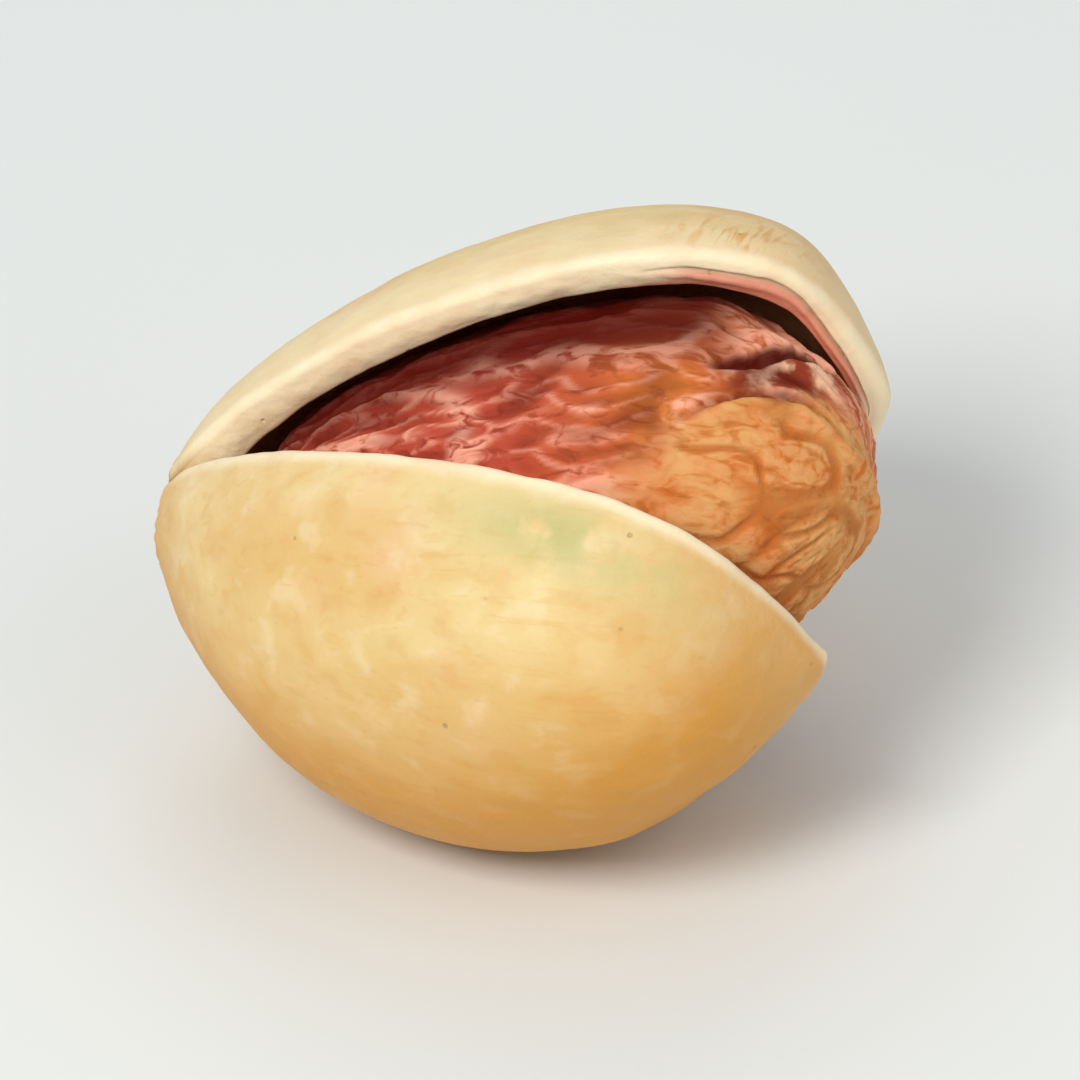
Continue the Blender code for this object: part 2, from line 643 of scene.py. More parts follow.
def srgb(red: int, green: int, blue: int) -> Colour:
    """Turn a screen colour into the linear colour that shaders take.

    Args:
        red: Red channel, from 0 to 255.
        green: Green channel, from 0 to 255.
        blue: Blue channel, from 0 to 255.

    Returns:
        The linear colour.
    """
    shares = (channel / 255.0 for channel in (red, green, blue))
    linear = [share / 12.92 if share <= 0.04045 else ((share + 0.055) / 1.055) ** 2.4 for share in shares]
    return (linear[0], linear[1], linear[2])


@dataclass(frozen=True)
class ShellFinish:
    """Dry pale shell: cream with tan clouds, a greenish patch, fine streaks and pits."""

    cream: Colour = srgb(233, 206, 144)
    honey: Colour = srgb(222, 176, 100)
    tan: Colour = srgb(214, 148, 52)
    rosy: Colour = srgb(236, 192, 146)
    green: Colour = srgb(190, 184, 116)
    chalk: Colour = srgb(251, 234, 198)
    bark: Colour = srgb(122, 72, 34)
    lining: Colour = srgb(214, 152, 108)
    skin: Colour = srgb(224, 138, 112)
    stain: Colour = srgb(172, 92, 62)

    def build(self) -> Finish:
        """Build the finish.

        Returns:
            The finish, ready to dress the shell.
        """
        finish = Finish("shell_finish")
        coarse = finish.relief(finish.noise(0.7, 4.0, (2.4, 1.0, 1.0)), 0.045)
        fine = finish.relief(finish.noise(0.16, 3.0), 0.017, coarse)
        return finish.surfaced({
            "Base Color": self.sides(finish, self.outside(finish)),
            "Roughness": 0.40 + 0.22 * finish.noise(0.6, 4.0),
            "Normal": finish.relief(1.0 - self.specks(finish), 0.03, fine),
            "Subsurface Weight": 0.12,
            "Subsurface Radius": (1.0, 0.6, 0.3),
            "Subsurface Scale": 0.6 * MM,
            "Specular IOR Level": 0.38,
        })

    @staticmethod
    def specks(finish: Finish) -> Value:
        """Return the dark specks, scattered in groups."""
        return finish.pits(1.3, 0.07) * finish.noise(2.5, 1.0).eased(0.46, 0.6)

    def outside(self, finish: Finish) -> Value:
        """Return the colour of the outside.

        Args:
            finish: The finish being built.

        Returns:
            The colour.
        """
        clouds = finish.noise(4.6, 3.0, (1.5, 1.0, 1.0), 0.4)
        low_shade_and_tip_tan = finish.mark("low_shade_and_tip_tan")
        clear_of_tan_and_shade = 1.0 - 0.8 * low_shade_and_tip_tan
        rosy = finish.noise(3.4, 2.0, offset=31.0).eased(0.54, 0.72)
        mottle = finish.noise(1.0, 3.0, (1.4, 1.0, 1.0), 0.3, 7.0)
        streaks = finish.noise(0.3, 3.0, (9.0, 1.0, 1.0), 0.8, 3.0)
        green = finish.mark("greened") * finish.noise(1.3, 3.0, offset=12.0).eased(0.24, 0.56)
        ticks = finish.noise(0.2, 2.0, (1.0, 6.0, 3.0), 0.3, 21.0).eased(0.46, 0.62)
        return finish.coated(self.cream, [
            (0.65 * clouds.eased(0.42, 0.66), self.honey),
            # Tan on the lower side is painted shade; the tan towards the tip is the shell's own colour.
            (low_shade_and_tip_tan, self.tan),
            (0.5 * rosy * clear_of_tan_and_shade, self.rosy),
            (0.3 * mottle.eased(0.5, 0.72) * clear_of_tan_and_shade, self.chalk),
            (0.26 * mottle.eased(0.48, 0.3), self.tan),
            (0.20 * streaks.eased(0.54, 0.72), self.tan),
            # Paler on the upper side near the open rims: the lip's own paler tone and a painted highlight.
            (finish.mark("pale_lip_and_highlight"), self.chalk),
            (0.9 * green, self.green),
            (0.75 * finish.mark("ticked") * ticks, self.tan),
            (0.35 * self.specks(finish), self.bark),
        ])

    def sides(self, finish: Finish, colour: Value) -> Value:
        """Lay the rim, the lining, the grooves (the closed suture's dark joint and a painted shadow line on
        the far rim) and the stem end over the outside's colour.

        Args:
            finish: The finish being built.
            colour: Colour of the outside.

        Returns:
            The colour of every face.
        """
        worn = finish.noise(1.4, 3.0, offset=5.0).eased(0.4, 0.7)
        stained = finish.noise(2.2, 4.0, (1.6, 1.0, 1.0)).eased(0.35, 0.7)
        patchy = 0.6 + 0.4 * finish.noise(0.35, 4.0, offset=9.0).eased(0.35, 0.65)
        return finish.coated(colour, [
            (0.85 * finish.mark("rim"), finish.mix(0.35 * worn, self.chalk, self.rosy)),
            (finish.mark("inside"), finish.mix(stained, self.lining, self.stain)),
            (0.9 * finish.mark("lined"), self.skin),
            # Dark joint along the closed suture, and on the far rim a painted shadow line beside the skin
            # band.
            (0.55 * finish.mark("groove"), self.bark),
            (0.85 * (finish.mark("stem") * patchy), self.bark),
        ])


@dataclass(frozen=True)
class KernelFinish:
    """Papery coat of the kernel: pink-red with creases darkened as painted shade and crests made paler as
    painted highlight, golden tan round the tip.
    """

    red: Colour = srgb(190, 78, 58)
    dark: Colour = srgb(88, 12, 6)
    pink: Colour = srgb(250, 180, 152)
    orange: Colour = srgb(212, 120, 56)
    golden: Colour = srgb(214, 146, 82)
    pale: Colour = srgb(236, 190, 130)
    plum: Colour = srgb(142, 58, 36)
    paper: Colour = srgb(234, 186, 150)
    rust: Colour = srgb(164, 84, 28)

    def build(self) -> Finish:
        """Build the finish.

        Returns:
            The finish, ready to dress the kernel.
        """
        finish = Finish("kernel_finish")
        coarse = finish.relief(finish.noise(0.45, 4.0, (2.6, 1.0, 1.0), 1.0), 0.07)
        return finish.surfaced({
            "Base Color": self.coat(finish),
            "Roughness": 0.48 + 0.3 * finish.noise(0.5, 4.0, offset=6.0),
            "Normal": finish.relief(finish.noise(0.11, 3.0), 0.016, coarse),
            "Subsurface Weight": 0.15,
            "Subsurface Radius": (1.0, 0.4, 0.25),
            "Subsurface Scale": 0.5 * MM,
            "Specular IOR Level": 0.06,
        })

    def coat(self, finish: Finish) -> Value:
        """Return the colour of the whole coat.

        Args:
            finish: The finish being built.

        Returns:
            The colour.
        """
        fine = finish.noise(0.35, 5.0, (2.4, 1.0, 1.0), 0.8)
        # Creases are darkened as painted shade in the coat, the plum skin and the golden tip.
        crease_shade, ridge = finish.mark("crease_shade"), finish.mark("ridge")
        patchy = finish.noise(2.0, 3.0, offset=4.0).eased(0.35, 0.65)
        blotched = finish.noise(0.8, 4.0, offset=8.0).eased(0.46, 0.64)
        plum = finish.coated(self.plum, [(blotched, self.paper), (0.7 * crease_shade, self.dark)])
        tip = finish.coated(self.golden, [
            (finish.noise(1.4, 4.0, offset=2.0).eased(0.4, 0.64), self.orange),
            # Crests on the golden tip made pale as painted highlight.
            (0.7 * ridge * fine.eased(0.35, 0.6), self.pale),
            (0.4 * fine.eased(0.48, 0.3), self.rust),
            (0.6 * crease_shade, self.rust),
        ])
        return finish.coated(self.red, [
            (finish.mark("browned") * (0.55 + 0.45 * patchy), self.orange),
            # Fold crests made pink as painted highlight; on the flap, the skin's own pale pink.
            (0.85 * ridge * fine.eased(0.3, 0.56), self.pink),
            (0.35 * fine.eased(0.5, 0.32), self.dark),
            (0.7 * crease_shade, self.dark),
            (0.95 * finish.mark("shaded"), self.dark),
            (finish.mark("plum"), plum),
            (finish.mark("golden"), tip),
            # Painted shade in the gap under the flap's edge.
            (0.9 * finish.mark("gap"), self.dark),
        ])


@dataclass(frozen=True)
class FloorFinish:
    """Plain pale studio floor."""

    pale: Colour = srgb(228, 231, 228)

    def build(self) -> Finish:
        """Build the finish.

        Returns:
            The finish, ready to dress the floor.
        """
        finish = Finish("floor_finish")
        cloud = finish.noise(40.0, 2.0).eased(0.3, 0.7)
        soft = tuple(0.985 * channel for channel in self.pale)
        return finish.surfaced({
            "Base Color": finish.mix(cloud, self.pale, soft),
            "Roughness": 0.75 + 0.1 * cloud,
        })


# ---------------------------------------------------------------- the two pieces


@dataclass
class Shell:
    """The split shell: two valves still joined at the stem end."""

    outer: Form = Form(19.2, 6.55, 6.35, 6.35, 0.25, -0.12, 0.70, 2.0)
    hollow: Form = Form(16.7, 5.65, 5.2, 5.4, 0.28, -0.11, 0.38, 1.75, shift=0.15)
    opening: Opening = field(default_factory=Opening)
    rest: Rest = field(default_factory=Rest)
    rows: int = 208
    outer_columns: int = 148
    inner_columns: int = 42
    rim_columns: int = 16
    outer_round: float = 0.28
    tip_round: float = 0.30
    inner_round: float = 0.15
    round_steps: int = 6
    seam_groove: float = 0.05
    far_pinch: float = 0.35
    far_wear: float = 0.5
    lump_height: float = 0.065
    streak_height: float = 0.020
    wrinkle_height: float = 0.011
    ray_height: float = 0.05
    scar_depth: float = 0.20
    ring_height: float = 0.06
    beak_slimming: float = 0.38
    tick_height: float = 0.022
    rim_unevenness: float = 0.055
    inside_roughness: float = 0.03
    skin_edge: float = 0.16
    skin_hollow: float = 0.06
    finish: ShellFinish = field(default_factory=ShellFinish)

    def __post_init__(self) -> None:
        """Draw the reliefs and find where the shell lies."""
        self.lumps, self.fine, self.wave = Grain(11), Grain(12), Grain(13)
        self.outsides = {Half.NEAR: self.outer, Half.FAR: replace(self.outer, pinch=self.far_pinch)}
        turn, tip = np.meshgrid(np.linspace(0.0, math.pi, 91), np.linspace(0.0, math.pi, 121))
        closed = self.outer.place(tip.ravel(), turn.ravel())
        sprung = [self.opening.spring(closed, half) for half in Half]
        self.move = self.rest.shift(np.concatenate(sprung))

    def angles(self, form: Form, columns: int, radius: float) -> tuple[np.ndarray, np.ndarray]:
        """Space a grid over one valve, closer together where the rims are rounded.

        Args:
            form: Outside or hollow.
            columns: Number of columns from the top rim to the lower one.
            radius: Radius of the rounded edge in millimetres.

        Returns:
            The angle from the tip and the turn about X of each point, both flat.
        """
        from_tip = np.linspace(0.0, math.pi, self.rows)
        sideways = np.maximum(form.place(from_tip, np.full(self.rows, 0.5 * math.pi))[:, 1], 1e-6)
        edge = np.arcsin(np.clip(np.minimum(radius, 0.4 * sideways) / sideways, 0.0, 0.5))
        steps = 1.0 - np.cos(np.linspace(0.0, 0.5 * math.pi, self.round_steps + 1))
        middle = np.linspace(0.0, 1.0, columns - 2 * self.round_steps)
        turns = np.concatenate([
            edge[:, None] * steps[None, :-1],
            edge[:, None] + (math.pi - 2.0 * edge[:, None]) * middle[None, :],
            math.pi - edge[:, None] * steps[None, -2::-1],
        ], axis=1)
        tips = np.repeat(from_tip[:, None], columns, axis=1)
        return tips.ravel(), turns.ravel()

    def rounding(self, points: np.ndarray, wall: Wall) -> np.ndarray:
        """Return how far the edge of a wall is drawn in to round it.

        Args:
            points: Points of the closed form.
            wall: Outside, which is rounder at the tip and finely grooved where closed, or inside.

        Returns:
            The depths in millimetres.
        """
        outside = wall is Wall.OUTSIDE
        radius = np.full(len(points), self.outer_round if outside else self.inner_round)
        if outside:
            radius += self.tip_round * smooth(7.0, 9.4, points[:, 0])
        inside = np.clip(radius - points[:, 1], 0.0, None)
        share = 1.0 - np.sqrt(np.maximum(1.0 - (inside / radius) ** 2, 0.0))
        openness = self.opening.openness(points)
        groove = self.seam_groove if outside else 0.0
        return share * (radius * openness + groove * (1.0 - openness))

    def outside_relief(self, points: np.ndarray, half: Half) -> np.ndarray:
        """Return the height of the outside's lumps, streaks, wrinkles and pits.

        Args:
            points: Points of the closed valve.
            half: Which valve they belong to.

        Returns:
            Heights in millimetres, outwards.
        """
        spot = half.sided(points)
        from_stem = self.from_stem(points)
        height = self.lump_height * self.lumps.layered(spot, 5.5, 2) - 0.01
        height += self.streak_height * self.fine.stretched(spot, (3.4, 0.8, 0.8))
        height += self.wrinkle_height * self.fine.layered(spot + 40.0, 0.9, 2)
        around = np.arctan2(spot[:, 1], spot[:, 2])
        rays = self.wave.at(np.stack([6.0 * np.cos(around), 6.0 * np.sin(around), from_stem / 3.0], axis=1))
        height += self.ray_height * rays * bump(1.6, 1.5, from_stem) * smooth(0.2, 0.9, from_stem)
        height -= self.scar_depth * (1.0 - smooth(0.85, 1.2, from_stem))
        height -= self.beak_slimming * smooth(4.2, 7.2, points[:, 0]) * smooth(2.2, -1.8, points[:, 2])
        height += self.ring_height * bump(1.38, 0.22, from_stem)
        near_rim = self.opening.openness(points) * smooth(0.25, 0.7, points[:, 1])
        near_rim *= 1.0 - smooth(0.9, 2.6, points[:, 1])
        ticks = self.wave.stretched(spot + 9.0, (0.34, 2.4, 0.6))
        return height + self.tick_height * near_rim * ticks

    def from_stem(self, points: np.ndarray) -> np.ndarray:
        """Return how far points of the closed shell lie from its stem end, in millimetres."""
        return np.linalg.norm(points + np.array([0.5 * self.outer.length, 0.0, 0.0]), axis=1)

    @staticmethod
    def skinned(points: np.ndarray, half: Half, start: float, full: float) -> np.ndarray:
        """Return where the far valve is lined with skin, from a place along X on towards the beak."""
        return smooth(start, full, points[:, 0]) * smooth(1.0, 3.0, points[:, 2]) * (half is Half.FAR)

    def wavy(self, points: np.ndarray, half: Half) -> np.ndarray:
        """Make the open rims a little uneven.

        Args:
            points: Points of the closed valve.
            half: Which valve they belong to.

        Returns:
            The moved points.
        """
        near_rim = 1.0 - smooth(0.2, 1.2, points[:, 1])
        uneven = self.rim_unevenness * self.wave.layered(half.sided(points) + 60.0 * half.value, 1.7, 3)
        moved = points.copy()
        moved[:, 1] += uneven * near_rim * self.opening.openness(points)
        return moved

    def shut_rows(self, turn: float) -> np.ndarray:
        """Return which rows of a rim are still closed, from one edge of the wall or the other.

        Args:
            turn: Turn about X of the rim: 0 for the upper one and pi for the lower one.

        Returns:
            True for each row that is closed.
        """
        tips = np.linspace(0.0, math.pi, self.rows)
        edges = [form.place(tips, np.full(self.rows, turn)) for form in (self.outer, self.hollow)]
        limit = -self.opening.crack_softness
        return (self.opening.distance(edges[0]) <= limit) | (self.opening.distance(edges[1]) <= limit)

    def settled(self, points: np.ndarray, half: Half, shut: np.ndarray) -> np.ndarray:
        """Return points of a closed valve sprung open and where the nut lies.

        Args:
            points: Points of the closed valve.
            half: Which valve they belong to.
            shut: Which of them stay on the split plane, as their suture is closed.

        Returns:
            The points, in the frame's axes.
        """
        closed = self.wavy(points, half)
        if half is Half.FAR:
            closed[:, 0] -= self.far_wear * smooth(6.5, 9.6, points[:, 0])
        closed[shut, 1] = 0.0
        sprung = self.opening.spring(closed, half)
        sprung[shut, 1] = 0.0
        return self.rest.flattened(self.rest.turned(sprung) + self.move)

    def marks(self, wall: Wall, points: np.ndarray, half: Half) -> Marks:
        """Return the numbers that the finish reads.

        Args:
            wall: Which face of the wall.
            points: Points of the closed valve.
            half: Which valve they belong to.

        Returns:
            Arrays from 0 to 1 by name.
        """
        along, depth, up = points.T
        openness = self.opening.openness(points)
        from_stem = self.from_stem(points)
        outside = 1.0 if wall is Wall.OUTSIDE else 0.0
        rim = openness if wall is Wall.RIM else openness * (1.0 - smooth(0.22, 0.55, depth))
        aslant = up - 0.15 * along
        low = smooth(5.0, 0.2, aslant) if half is Half.NEAR else smooth(2.0, -3.0, aslant)
        tip = smooth(3.0, 9.0, along)
        skin = self.skinned(points, half, 2.2, 4.6)
        patch = np.exp(-(((along - 4.2) / 3.0) ** 2 + ((depth - 1.4) / 0.9) ** 2)) * (up > 0)
        above = smooth(-1.0, 2.0, up) * (1.0 - smooth(0.8, 3.4, depth)) * openness
        scar = 0.6 * (1.0 - smooth(0.95, 1.3, from_stem))
        return {
            "rim": rim,
            "inside": (wall is Wall.INSIDE) * (1.0 - 0.8 * rim),
            "groove": outside * (1.0 - openness) * (1.0 - smooth(0.0, 0.16, depth)),
            "stem": outside * np.maximum(scar, bump(1.18, 0.17, from_stem)),
            # The lower side is darkened towards tan as painted shade; the tan towards the tip is the
            # shell's own colour.
            "low_shade_and_tip_tan": outside * np.clip(0.9 * low + 0.6 * tip, 0.0, 0.95),
            # Upper side near the open rims made paler: partly the lip's own tone, partly painted highlight.
            "pale_lip_and_highlight": outside * above * (0.45 if half is Half.FAR else 0.1),
            "greened": outside * patch * (1.0 if half is Half.NEAR else 0.35),
            "lined": skin * (1.0 - smooth(0.3, 1.4, depth)) * (wall is Wall.INSIDE),
            "ticked": skin * outside * bump(6.0, 1.5, along) * bump(1.2, 0.9, depth),
        }

    def face(self, wall: Wall, half: Half) -> tuple[Patch, np.ndarray]:
        """Build the outside or the inside of one valve.

        Args:
            wall: Outside or inside.
            half: Which valve.

        Returns:
            The patch where the nut lies, and the same points on the closed valve.
        """
        outside = wall is Wall.OUTSIDE
        form = self.outsides[half] if outside else self.hollow
        columns = self.outer_columns if outside else self.inner_columns
        tips, turns = self.angles(form, columns, self.outer_round if outside else self.inner_round)
        points, normals = form.place(tips, turns), form.outward(tips, turns)
        drawn = self.rounding(points, wall)
        if outside:
            height = self.outside_relief(points, half) - drawn
        else:
            height = drawn + self.inside_roughness * self.lumps.layered(half.sided(points) + 5.0, 2.6, 3)
        marks = self.marks(wall, points, half)
        closed = points + normals * height[:, None]
        join_poles(closed, tips)
        closed[np.any(ends(turns) + ends(tips), axis=0), 1] = 0.0
        shut = np.zeros((self.rows, columns), dtype=bool)
        shut[:, 0], shut[:, -1], shut[-1] = self.shut_rows(0.0), self.shut_rows(math.pi), True
        return Patch(self.rows, columns, self.settled(closed, half, shut.ravel()), marks), closed

    def rim(
        self, outer: np.ndarray, inner: np.ndarray, half: Half, shut: np.ndarray
    ) -> tuple[Patch, np.ndarray]:
        """Build the rim that joins two edges of the wall.

        Args:
            outer: Points of the outside's edge on the closed valve.
            inner: Points of the inside's edge on the closed valve.
            half: Which valve.
            shut: Which of its rows are closed.

        Returns:
            The patch, and which of its quads are open and so kept.
        """
        shares = np.linspace(0.0, 1.0, self.rim_columns)
        points = outer[:, None, :] + (inner - outer)[:, None, :] * shares[None, :, None]
        flat = points.reshape(-1, 3)
        spot = half.sided(flat)
        swell = np.tile(np.sin(math.pi * shares), self.rows)
        rough = -0.05 + 0.03 * self.fine.layered(spot + 90.0 * half.value, 0.5, 2)
        flat[:, 1] += swell * rough * self.opening.openness(flat)
        skin = self.skinned(flat, half, 3.2, 5.2)
        share = np.tile(shares, self.rows) + 0.1 * self.fine.layered(spot, 1.5, 2)
        clear_of_edges = np.tile(smooth(0.0, 0.1, shares) * smooth(1.0, 0.9, shares), self.rows)
        profile = self.skin_edge * bump(0.26, 0.09, share) - self.skin_hollow * bump(0.6, 0.2, share)
        flat[:, 1] += skin * clear_of_edges * profile
        settled = self.settled(flat, half, np.repeat(shut, self.rim_columns))
        marks = self.marks(Wall.RIM, flat, half)
        marks["lined"] = skin * smooth(0.26, 0.38, share)
        # A thin dark line between the rim and the skin band: painted shadow.
        marks["groove"] = skin * bump(0.25, 0.09, share)
        patch = Patch(self.rows, self.rim_columns, settled, marks)
        keep = np.repeat(~(shut[:-1] & shut[1:])[:, None], self.rim_columns - 1, axis=1)
        return patch, keep

    def build(self) -> bpy.types.Object:
        """Build the shell, weld its closed seam and dress it.

        Returns:
            The shell.
        """
        work = MeshWork()
        for half in Half:
            far = half is Half.FAR
            outside, closed_outer = self.face(Wall.OUTSIDE, half)
            inside, closed_inner = self.face(Wall.INSIDE, half)
            work.add(outside, flip=far)
            work.add(inside, flip=not far)
            for column in (0, -1):
                outer = closed_outer[outside.grid()[:, column]]
                inner = closed_inner[inside.grid()[:, column]]
                strip, keep = self.rim(outer, inner, half, self.shut_rows(0.0 if column == 0 else math.pi))
                work.add(strip, flip=far != (column == 0), keep=keep)
        shell = work.make("split_shell")
        self.finish.build().dress(shell)
        return shell


@dataclass
class Kernel:
    """The kernel in its wrinkled coat."""

    form: Form = Form(16.0, 5.1, 4.3, 4.9, 0.3, 0.0, 0.2, 2.2)
    shift: tuple[float, float, float] = (1.1, 0.1, 0.5)
    lean: float = math.radians(1.0)
    opening: Opening = field(default_factory=Opening)
    rest: Rest = field(default_factory=Rest)
    rows: int = 280
    columns: int = 340
    girth: float = 4.6
    lump_height: float = 0.10
    fold_height: float = 0.20
    wrinkle_height: float = 0.07
    crinkle_height: float = 0.02
    crease_depth: float = 0.15
    lobe_height: float = 0.08
    lobe_edge: float = 0.20
    verge_depth: float = 0.24
    tip_height: float = 0.14
    tip_hollow: float = 0.12
    gap_depth: float = 0.34
    flap_height: float = 0.14
    beside_depth: float = 0.16
    shoulder_height: float = 0.2
    finish: KernelFinish = field(default_factory=KernelFinish)

    def __post_init__(self) -> None:
        """Draw the reliefs."""
        self.folds, self.fine, self.warp = Grain(21), Grain(22), Grain(23)

    def lobe(self, points: np.ndarray) -> np.ndarray:
        """Find how far points lie inside the golden lobe near the tip.

        Args:
            points: Points of the smooth form.

        Returns:
            The distances in millimetres, negative outside the lobe.
        """
        arc = 0.5 - 0.145 * (points[:, 0] - 8.4) ** 2
        ragged = 0.20 * self.warp.layered(points + 3.0, 1.4, 3)
        return arc - points[:, 1] + ragged

    def relief(
        self, points: np.ndarray, tips: np.ndarray, turns: np.ndarray
    ) -> tuple[np.ndarray, Marks]:
        """Work out the coat's folds and what the finish reads of them.

        Args:
            points: Points of the smooth form.
            tips: Angle from the tip of each point.
            turns: Turn about X of each point.

        Returns:
            Heights in millimetres, outwards, and arrays from 0 to 1 by name.
        """
        along, side, up = points.T
        strand = np.stack([8.0 * tips, self.girth * np.cos(turns), self.girth * np.sin(turns)], axis=1)
        swirl = np.stack([self.warp.layered(points + 10.0 * k, 3.2, 2) for k in range(3)], axis=1)
        strand = strand + 0.45 * swirl
        folds = veined(self.folds.stretched(strand, (5.5, 1.25, 1.25)))
        wrinkles = veined(self.fine.stretched(strand + 8.0, (2.6, 0.55, 0.55)))
        crinkle = veined(self.fine.stretched(points + 0.2 * swirl + 4.0, (0.9, 0.5, 0.5)))
        dents = veined(self.warp.stretched(points + 0.3 * swirl + 30.0, (2.0, 1.5, 1.5)))

        # The golden lobe, with its arc towards the far valve, and the coat round it.
        slim = smooth(0.1, 0.6, np.sin(tips))
        lobe = self.lobe(points)
        end = smooth(0.62, 0.42, tips + 0.05 * swirl[:, 0])
        arched = smooth(4.6, 6.4, along)
        soft = 0.13 + 1.1 * (1.0 - arched)
        golden = np.maximum(smooth(-soft, soft, lobe), end * smooth(1.4, 0.5, side))
        coat = 1.0 - golden
        verge = bump(-0.12, 0.13, lobe) * arched * (1.0 - end)

        # The flap of skin behind the lobe, the gap under its edge, darkened as painted shade, the flank
        # beside the wall, and the shoulder under the far rim, raised and darkened as painted shade, partly
        # the coat's own dark red.
        fold = 1.65 + 0.6 * (along - 6.7) - 0.9 * np.clip(along - 7.9, 0.0, None) ** 2
        past_fold = side - fold + 0.12 * swirl[:, 1]
        behind = smooth(5.0, 6.4, along) * smooth(1.0, 3.0, up)
        gap = bump(0.0, 0.22, past_fold) * behind
        flap = smooth(0.0, 0.3, past_fold) * behind
        beside = smooth(2.1, 2.9, side) * behind
        shoulder = smooth(-0.2, 1.5, side - 0.10 * along) * smooth(6.6, 4.6, along)
        shoulder *= smooth(-2.0, 2.0, up)

        from_tip = np.linalg.norm(points - np.array([9.2, 0.0, 3.0]), axis=1)
        near_tip = (1.0 - smooth(2.2, 4.6, from_tip)) * smooth(0.2, 0.7, tips)
        fine_creases = 0.35 * smooth(0.6, 1.0, wrinkles) * (0.35 + 0.65 * near_tip)
        creases = smooth(0.35, 0.95, folds) * near_tip + fine_creases
        creases = np.maximum(creases, 0.8 * smooth(0.6, 1.0, dents) * smooth(0.35, 0.8, lobe))

        height = self.lump_height * self.folds.layered(points + 50.0, 3.6, 2) - 0.06
        folded = self.fold_height * folds + self.wrinkle_height * wrinkles
        height += slim * coat * folded + self.crinkle_height * crinkle
        height -= slim * golden * self.crease_depth * creases
        height += (
            self.lobe_height * golden * arched
            - self.verge_depth * verge
            + self.lobe_edge * bump(0.28, 0.24, lobe) * arched
        )
        height += (
            self.tip_height * smooth(1.0, 0.4, tips)
            - self.tip_hollow * smooth(0.35, 0.0, tips)
            - self.gap_depth * gap
        )
        height += self.flap_height * flap * (1.0 - beside) - self.beside_depth * beside
        height += self.shoulder_height * shoulder

        # Painted shade: fold valleys, the lobe's verge groove and the gap under the flap are darkened.
        low = 0.75 * smooth(0.35, -0.35, folds) + 0.45 * smooth(0.2, -0.5, wrinkles)
        crease_shade = coat * low * (1.0 - flap) + golden * creases + verge + gap
        # Fold crests and the lobe away from its creases made paler as painted highlight; the flap adds its
        # own pale colour.
        ridge = smooth(0.45, 0.95, folds) * coat + 0.6 * smooth(0.5, 0.95, wrinkles) * coat
        ridge += golden * (1.0 - smooth(0.0, 0.4, creases)) * 0.6
        plum = smooth(0.1, 0.5, -lobe) * smooth(5.4, 6.8, along) * (1.0 - flap)
        plum *= (1.0 - end * smooth(1.4, 0.5, side)) * smooth(0.3, 0.6, tips)
        marks = {
            "crease_shade": np.clip(crease_shade, 0.0, 1.0),
            "ridge": np.clip(np.maximum(ridge, flap), 0.0, 1.0),
            "golden": golden,
            "plum": plum,
            # Painted shade: the shoulder under the far rim and the gap under the flap.
            "shaded": shoulder,
            "gap": smooth(0.15, 0.65, gap),
            "browned": smooth(0.0, 4.6, along + 0.8 * swirl[:, 2]),
        }
        return height, marks

    def leaned(self, points: np.ndarray) -> np.ndarray:
        """Shift points into the shell and lean them about the hinge line.

        Args:
            points: Points of the kernel's form.

        Returns:
            The moved points.
        """
        pivot = Vector(self.opening.point)
        turn = Matrix.Rotation(self.lean, 4, Vector(self.opening.line))
        lean = np.array(Matrix.Translation(pivot) @ turn @ Matrix.Translation(-pivot))
        return (points + np.array(self.shift)) @ lean[:3, :3].T + lean[:3, 3]

    def build(self, move: np.ndarray) -> bpy.types.Object:
        """Build the kernel where the nut lies and dress it.

        Args:
            move: The move that sets the turned shell where its solid is, in millimetres.

        Returns:
            The kernel.
        """
        around = np.arange(self.columns) * 2.0 * math.pi / self.columns
        turn, tip = np.meshgrid(around, np.linspace(0.0, math.pi, self.rows))
        tips, turns = tip.ravel(), turn.ravel()
        smooth_form = self.form.place(tips, turns)
        placed = self.leaned(smooth_form)
        height, marks = self.relief(placed, tips, turns)
        grown = smooth_form + self.form.outward(tips, turns) * height[:, None]
        join_poles(grown, tips)
        points = self.rest.turned(self.leaned(grown)) + move
        work = MeshWork()
        work.add(Patch(self.rows, self.columns, points, marks), flip=True, wrap=True)
        kernel = work.make("kernel_in_coat")
        self.finish.build().dress(kernel)
        return kernel


# ---------------------------------------------------------------- studio


@dataclass
class Lamp:
    """A soft square lamp, placed by its direction from the nut."""

    name: str
    azimuth: float
    elevation: float
    distance: float
    size: float
    power: float
    colour: Colour

    def build(self, target: Vector) -> None:
        """Build the lamp, turned towards a target.

        Args:
            target: Point in metres that it shines on.
        """
        light = bpy.data.lights.new(self.name, "AREA")
        light.size, light.energy, light.color = self.size, self.power, self.colour
        lamp = bpy.data.objects.new(self.name, light)
        back = direction(self.azimuth, self.elevation)
        lamp.matrix_world = back.to_track_quat("Z", "Y").to_matrix().to_4x4()
        lamp.location = target + back * self.distance
        bpy.context.scene.collection.objects.link(lamp)


def direction(azimuth: float, elevation: float) -> Vector:
    """Return the unit direction from the nut at an azimuth and elevation in degrees."""
    across, up = math.radians(azimuth), math.radians(elevation)
    return Vector((math.sin(across) * math.cos(up), -math.cos(across) * math.cos(up), math.sin(up)))


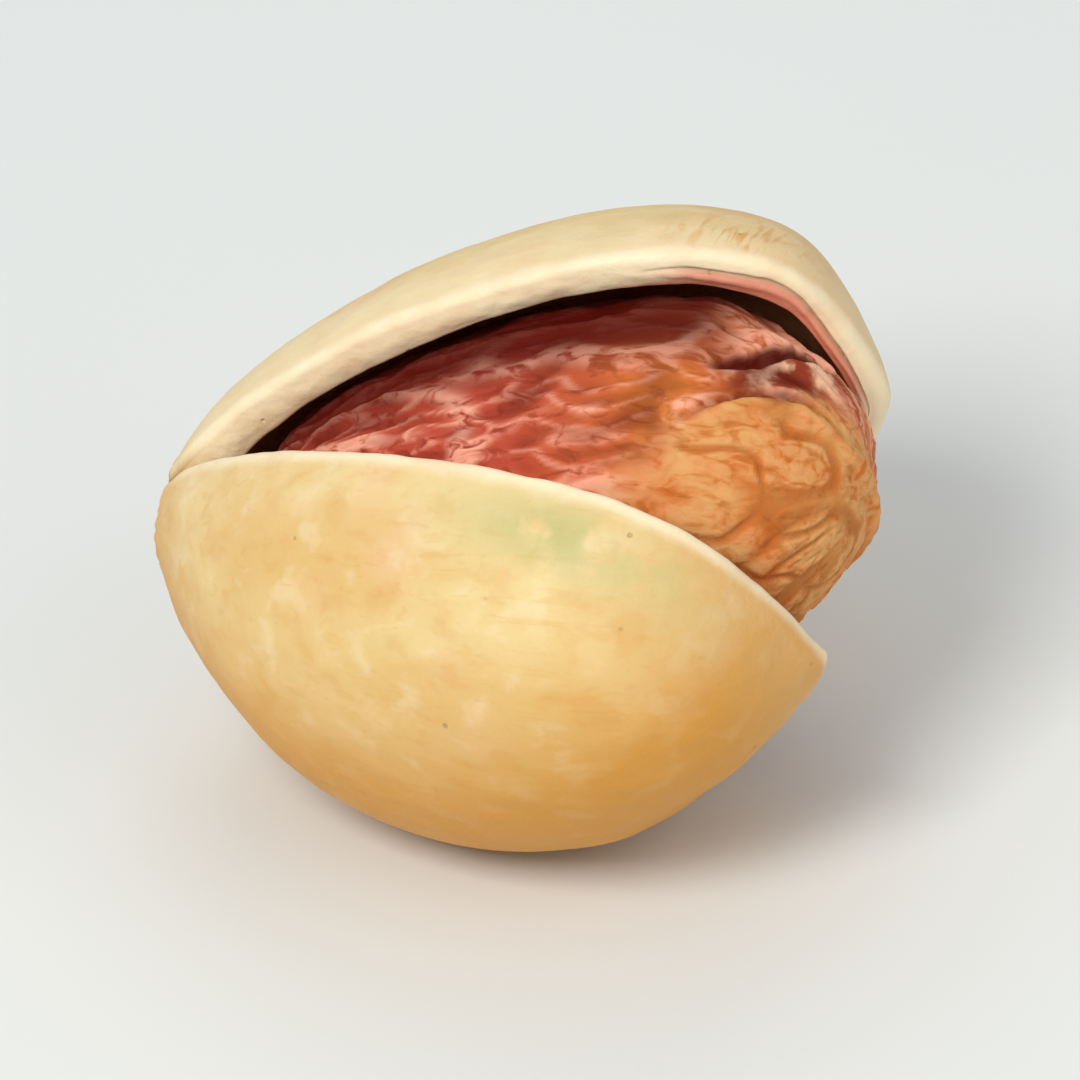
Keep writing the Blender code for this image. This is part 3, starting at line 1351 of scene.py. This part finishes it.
@dataclass
class Studio:
    """Floor, lamps, sky and camera."""

    azimuth: float = 20.0
    elevation: float = 33.0
    camera_roll: float = math.radians(-6.0)
    view_width: float = 27.0 * MM
    lens: float = 600.0
    sensor: float = 36.0
    offset_right: float = -0.1 * MM
    offset_up: float = 5.5 * MM
    floor_side: float = 6.0
    sky: Colour = (0.93, 0.96, 1.0)
    sky_strength: float = 0.48
    floor_finish: FloorFinish = field(default_factory=FloorFinish)
    lamp_target: float = 6.0 * MM
    lamps: tuple[Lamp, ...] = (
        Lamp("key", -12.0, 48.0, 0.30, 0.12, 0.57, (1.0, 0.985, 0.96)),
        Lamp("fill", 75.0, 34.0, 0.34, 0.22, 0.16, (1.0, 0.98, 0.94)),
        Lamp("back", 190.0, 46.0, 0.32, 0.20, 0.16, (0.98, 0.99, 1.0)),
    )

    def build(self) -> None:
        """Build the whole studio."""
        self.lay_floor()
        self.hang_sky()
        for lamp in self.lamps:
            lamp.build(Vector((0.0, 0.0, self.lamp_target)))
        self.set_camera()
        bpy.context.scene.view_settings.view_transform = "Standard"

    def lay_floor(self) -> None:
        """Lay the pale floor that the nut rests on."""
        half = 0.5 * self.floor_side
        mesh = bpy.data.meshes.new("floor")
        spots = [(-half, -half, 0.0), (half, -half, 0.0), (half, half, 0.0), (-half, half, 0.0)]
        mesh.from_pydata(spots, [], [(0, 1, 2, 3)])
        floor = bpy.data.objects.new("floor", mesh)
        bpy.context.scene.collection.objects.link(floor)
        self.floor_finish.build().dress(floor)

    def hang_sky(self) -> None:
        """Light the studio evenly from all round."""
        world = bpy.data.worlds.new("studio_sky")
        world.use_nodes = True
        background = world.node_tree.nodes["Background"]
        background.inputs["Color"].default_value = (*self.sky, 1.0)
        background.inputs["Strength"].default_value = self.sky_strength
        bpy.context.scene.world = world

    def set_camera(self) -> None:
        """Set the camera at its angle, rolled a little."""
        data = bpy.data.cameras.new("camera")
        data.lens, data.sensor_width = self.lens, self.sensor
        distance = self.view_width * self.lens / self.sensor
        data.clip_start, data.clip_end = 0.05 * distance, 100.0 * distance
        camera = bpy.data.objects.new("camera", data)
        bpy.context.scene.collection.objects.link(camera)
        back = direction(self.azimuth, self.elevation)
        level = Vector((math.cos(math.radians(self.azimuth)), math.sin(math.radians(self.azimuth)), 0.0))
        upright = back.cross(level)
        right = level * math.cos(self.camera_roll) + upright * math.sin(self.camera_roll)
        up = back.cross(right)
        target = right * self.offset_right + up * self.offset_up
        camera.matrix_world = Matrix((right, up, back)).transposed().to_4x4()
        camera.location = target + back * distance
        bpy.context.scene.camera = camera


def corners(box: tuple[Vector, Vector]) -> list[list[float]]:
    """Return a box's two corners as plain lists."""
    return [list(corner) for corner in box]


def main() -> None:
    """Load the frame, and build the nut's two pieces and the studio."""
    logging.basicConfig(level=logging.INFO, format="%(name)s: %(message)s")
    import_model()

    shell = Shell()
    pieces = {"shell": shell.build(), "kernel": Kernel().build(shell.move)}
    for node, piece in pieces.items():
        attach(piece, BODY)
        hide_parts(node)
        LOG.info("%s stands for %s", piece.name, node)

    Studio().build()


if __name__ == "__main__":
    main()
